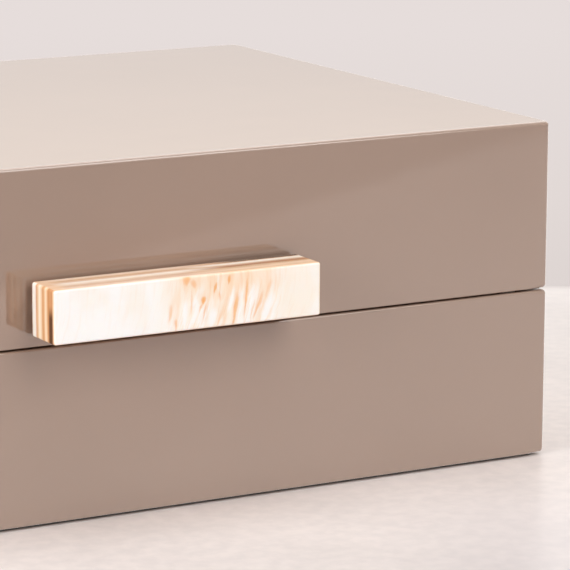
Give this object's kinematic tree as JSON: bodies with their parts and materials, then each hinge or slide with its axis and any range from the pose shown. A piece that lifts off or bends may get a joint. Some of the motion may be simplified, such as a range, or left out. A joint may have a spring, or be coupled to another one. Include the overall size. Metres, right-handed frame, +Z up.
{
  "type": "lacquered box",
  "caption": "Flat rectangular lacquered box with a hinged lid, a suede-lined inside and a laminated horn bar handle on the front.",
  "frame": {"origin": "middle of the flat underside of the felt, on the surface that the box stands on", "axes": "+X along the front from left to right, +Y from the front with the handle to the back with the hinges, +Z up"},
  "size_m": [0.3, 0.2503, 0.1184],
  "materials": {
    "taupe_lacquer": "board under a thick taupe lacquer, polished to a high gloss",
    "blond_horn": null,
    "suede": "short-napped taupe suede over board",
    "felt": "dense dark brown felt",
    "brass": "satin brass",
    "steel": "bright nickelled steel",
    "silicone": "soft milky silicone"
  },
  "bodies": {
    "base": {"base_back_wall": "taupe_lacquer", "base_bottom_board": "taupe_lacquer", "base_floor_pad": "suede", "base_front_wall": "taupe_lacquer", "base_left_wall": "taupe_lacquer", "base_lining_back": "suede", "base_lining_front": "suede", "base_lining_left": "suede", "base_lining_right": "suede", "base_right_wall": "taupe_lacquer", "hinge_base_leaf_left": "brass", "hinge_base_leaf_right": "brass", "hinge_base_screw_left_1": "brass", "hinge_base_screw_left_2": "brass", "hinge_base_screw_left_3": "brass", "hinge_base_screw_right_1": "brass", "hinge_base_screw_right_2": "brass", "hinge_base_screw_right_3": "brass", "hinge_pin_left": "brass", "hinge_pin_right": "brass", "rim_buffer_left": "silicone", "rim_buffer_right": "silicone", "underside_felt": "felt"},
    "lid": {"handle_bolt_left": "steel", "handle_bolt_right": "steel", "handle_sleeve_left": "brass", "handle_sleeve_right": "brass", "handle_spacer_left": "steel", "handle_spacer_right": "steel", "hinge_lid_leaf_left": "brass", "hinge_lid_leaf_right": "brass", "hinge_lid_screw_left_1": "brass", "hinge_lid_screw_left_2": "brass", "hinge_lid_screw_left_3": "brass", "hinge_lid_screw_right_1": "brass", "hinge_lid_screw_right_2": "brass", "hinge_lid_screw_right_3": "brass", "horn_layer_1": "blond_horn", "horn_layer_2": "blond_horn", "horn_layer_3": "blond_horn", "horn_layer_4": "blond_horn", "lid_back_wall": "taupe_lacquer", "lid_front_wall": "taupe_lacquer", "lid_left_wall": "taupe_lacquer", "lid_lining_back": "suede", "lid_lining_front": "suede", "lid_lining_left": "suede", "lid_lining_right": "suede", "lid_right_wall": "taupe_lacquer", "lid_top_board": "taupe_lacquer", "lid_top_pad": "suede"}
  },
  "joints": [
    {"name": "lid_hinge", "type": "hinge", "parent": "base", "child": "lid", "pos_m": [0, 0.1157, 0.0596], "axis": [-1, 0, 0], "range_deg": [0, 95]}
  ]
}
